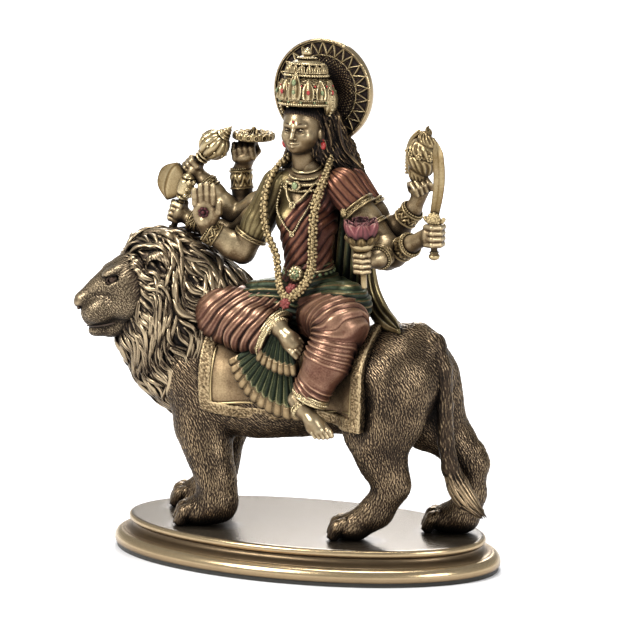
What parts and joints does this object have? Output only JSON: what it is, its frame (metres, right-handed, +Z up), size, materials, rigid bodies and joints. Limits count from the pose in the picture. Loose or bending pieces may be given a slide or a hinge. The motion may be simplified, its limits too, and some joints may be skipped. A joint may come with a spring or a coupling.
{
  "type": "deity statuette",
  "caption": "Cast statuette of a many-armed deity seated side-saddle on a walking lion, in front of a disc halo, on an oval plinth.",
  "frame": {"origin": "centre of the felt pad's underside, on the surface that the statuette stands on", "axes": "+Z up; the lion walks towards -X; the rider faces -Y"},
  "size_m": [0.1669, 0.094, 0.2015],
  "materials": {
    "felt": "matt black felt",
    "plinth_bronze": "smooth bronze-coated resin, satin",
    "fur_bronze": "antiqued bronze, rubbed bright on the ridges",
    "dark_bronze": "antiqued bronze, dark in the recesses",
    "saddle_gold": "pale gold, stippled",
    "green_paint": "dark green metallic paint with gold edges",
    "copper_paint": "copper-red metallic paint",
    "skin_bronze": "light bronze, satin",
    "red_paint": "red and rose metallic paint",
    "halo_bronze": "antiqued bronze",
    "gold": "antique gold"
  },
  "bodies": {
    "root": {"felt_pad": "felt", "plinth": "plinth_bronze", "lion_body": "fur_bronze", "lion_mane": "dark_bronze", "lion_head": "fur_bronze", "lion_tail": "fur_bronze", "lion_front_left_leg": "fur_bronze", "lion_front_right_leg": "fur_bronze", "lion_rear_left_leg": "fur_bronze", "lion_rear_right_leg": "fur_bronze", "saddle_cloth": "saddle_gold", "saddle_border": "saddle_gold", "skirt": "green_paint", "right_leg": "copper_paint", "left_leg": "copper_paint", "right_foot": "skin_bronze", "left_foot": "skin_bronze", "anklets": "gold", "upper_pleats": "green_paint", "lower_pleats": "green_paint", "trailing_sash": "green_paint", "torso": "copper_paint", "shoulder_drape": "copper_paint", "belt_flower": "red_paint", "necklace": "gold", "garland": "gold", "head": "skin_bronze", "hair": "dark_bronze", "earrings": "red_paint", "crown": "gold", "halo": "halo_bronze", "blessing_arm": "skin_bronze", "discus_arm": "skin_bronze", "mace_arm": "skin_bronze", "axe_arm": "skin_bronze", "lotus_arm": "skin_bronze", "sword_arm": "skin_bronze", "conch_arm": "skin_bronze", "armlets": "gold", "bracelets": "gold", "discus": "gold", "mace": "gold", "axe": "gold", "lotus": "red_paint", "sword": "gold", "conch": "gold"}
  },
  "joints": []
}
